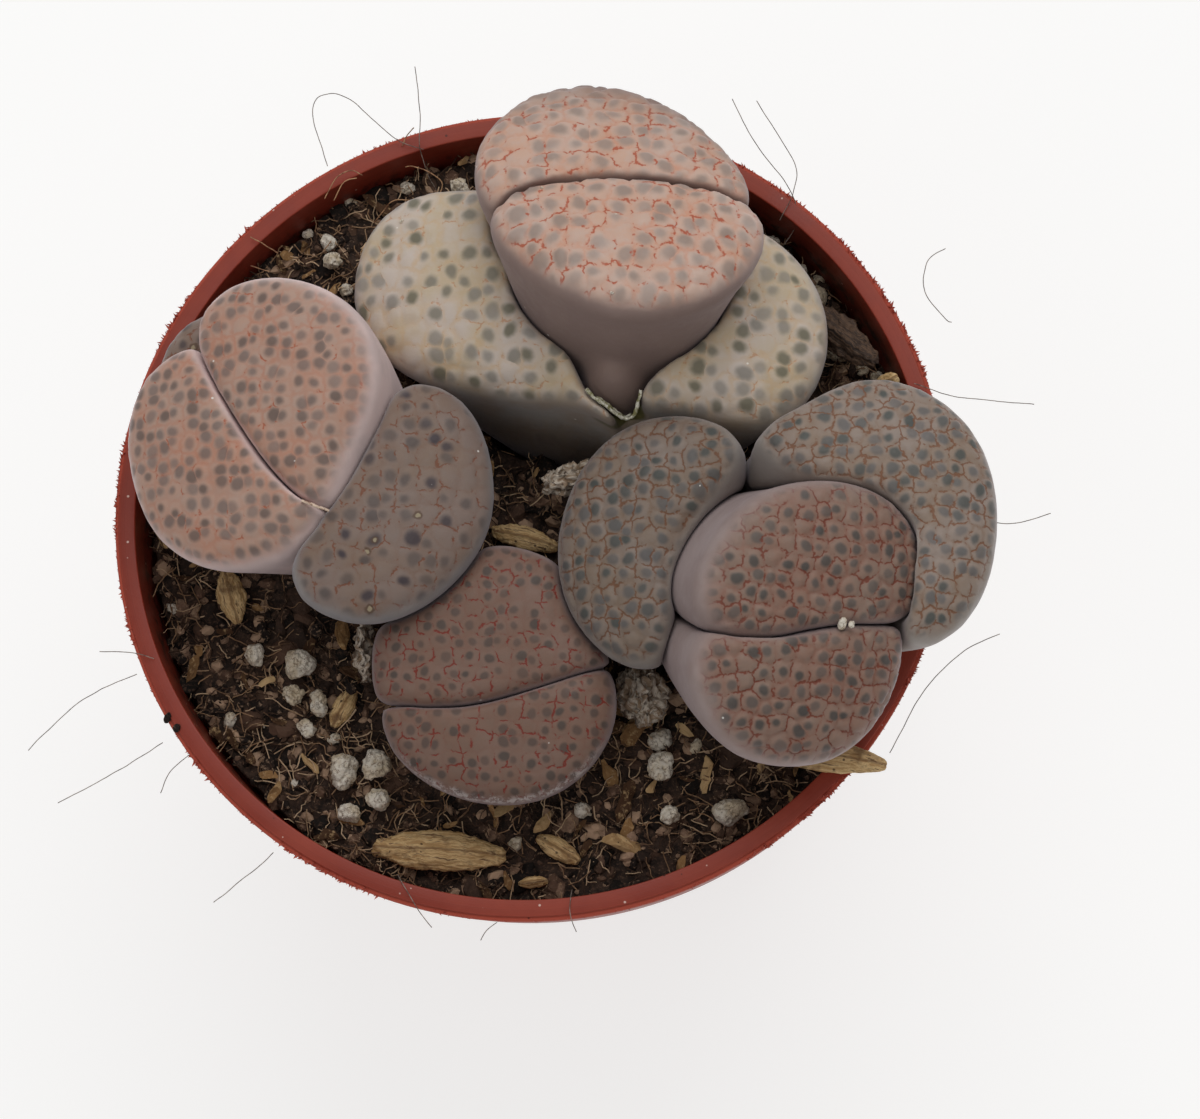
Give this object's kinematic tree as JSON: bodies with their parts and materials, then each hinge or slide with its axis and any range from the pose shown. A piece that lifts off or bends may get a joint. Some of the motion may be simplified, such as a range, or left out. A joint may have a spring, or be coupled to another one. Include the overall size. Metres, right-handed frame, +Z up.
{
  "type": "potted lithops",
  "caption": "Round tapered plastic pot with a flat rim, filled with dark gritty soil and planted with low split-topped living-stone succulents.",
  "frame": {"origin": "centre of the pot's flat underside, on the surface that it stands on", "axes": "+Z up along the pot's axis, -Y towards the front of the pot, where the soil is lowest, +X to its right"},
  "size_m": [0.0684, 0.065, 0.0689],
  "materials": {
    "bark": "dark fibrous bark",
    "dry_leaf": "dry tan leaf litter",
    "old_skin_left": "matt waxy blue-grey skin with dark spots",
    "old_skin_right": "matt waxy grey-cream skin with blue-green spots",
    "old_skin_top": "matt waxy cream-green skin with olive spots",
    "papery_skin": "shrunken papery dry leaf skin",
    "peat": "dark fibrous peat and grit, damp and matt",
    "perlite": "porous off-white volcanic grain",
    "pot_plastic": "satin terracotta-red moulded plastic",
    "skin_front": "matt waxy mauve skin with dark spots and red lines",
    "skin_left": "matt waxy salmon skin with round grey spots",
    "skin_right": "matt waxy dusty pink skin with grey spots and red-brown lines",
    "skin_top": "matt waxy salmon skin, cobbled, with grey spots"
  },
  "bodies": {
    "root": {"bark_strip": "bark", "crumb_centre": "papery_skin", "curled_husk": "dry_leaf", "dead_leaf_left": "papery_skin", "dead_leaf_right": "papery_skin", "dry_leaf_centre": "dry_leaf", "dry_leaf_front": "dry_leaf", "dry_leaf_right": "dry_leaf", "dry_leaf_small": "dry_leaf", "front_new_lower": "skin_front", "front_new_upper": "skin_front", "husk_left": "dry_leaf", "husk_left_rim": "dry_leaf", "husk_right_rim": "dry_leaf", "husk_triangular": "dry_leaf", "left_new_lower": "skin_left", "left_new_upper": "skin_left", "left_old_left": "old_skin_left", "left_old_right": "old_skin_left", "perlite_01": "perlite", "perlite_02": "perlite", "perlite_03": "perlite", "perlite_04": "perlite", "perlite_05": "perlite", "perlite_06": "perlite", "perlite_07": "perlite", "perlite_08": "perlite", "perlite_09": "perlite", "perlite_10": "perlite", "perlite_11": "perlite", "perlite_12": "perlite", "perlite_13": "perlite", "perlite_14": "perlite", "pot": "pot_plastic", "right_new_lower": "skin_right", "right_new_upper": "skin_right", "right_old_left": "old_skin_right", "right_old_right": "old_skin_right", "soil": "peat", "top_new_lower": "skin_top", "top_new_upper": "skin_top", "top_old_left": "old_skin_top", "top_old_right": "old_skin_top"}
  },
  "joints": []
}
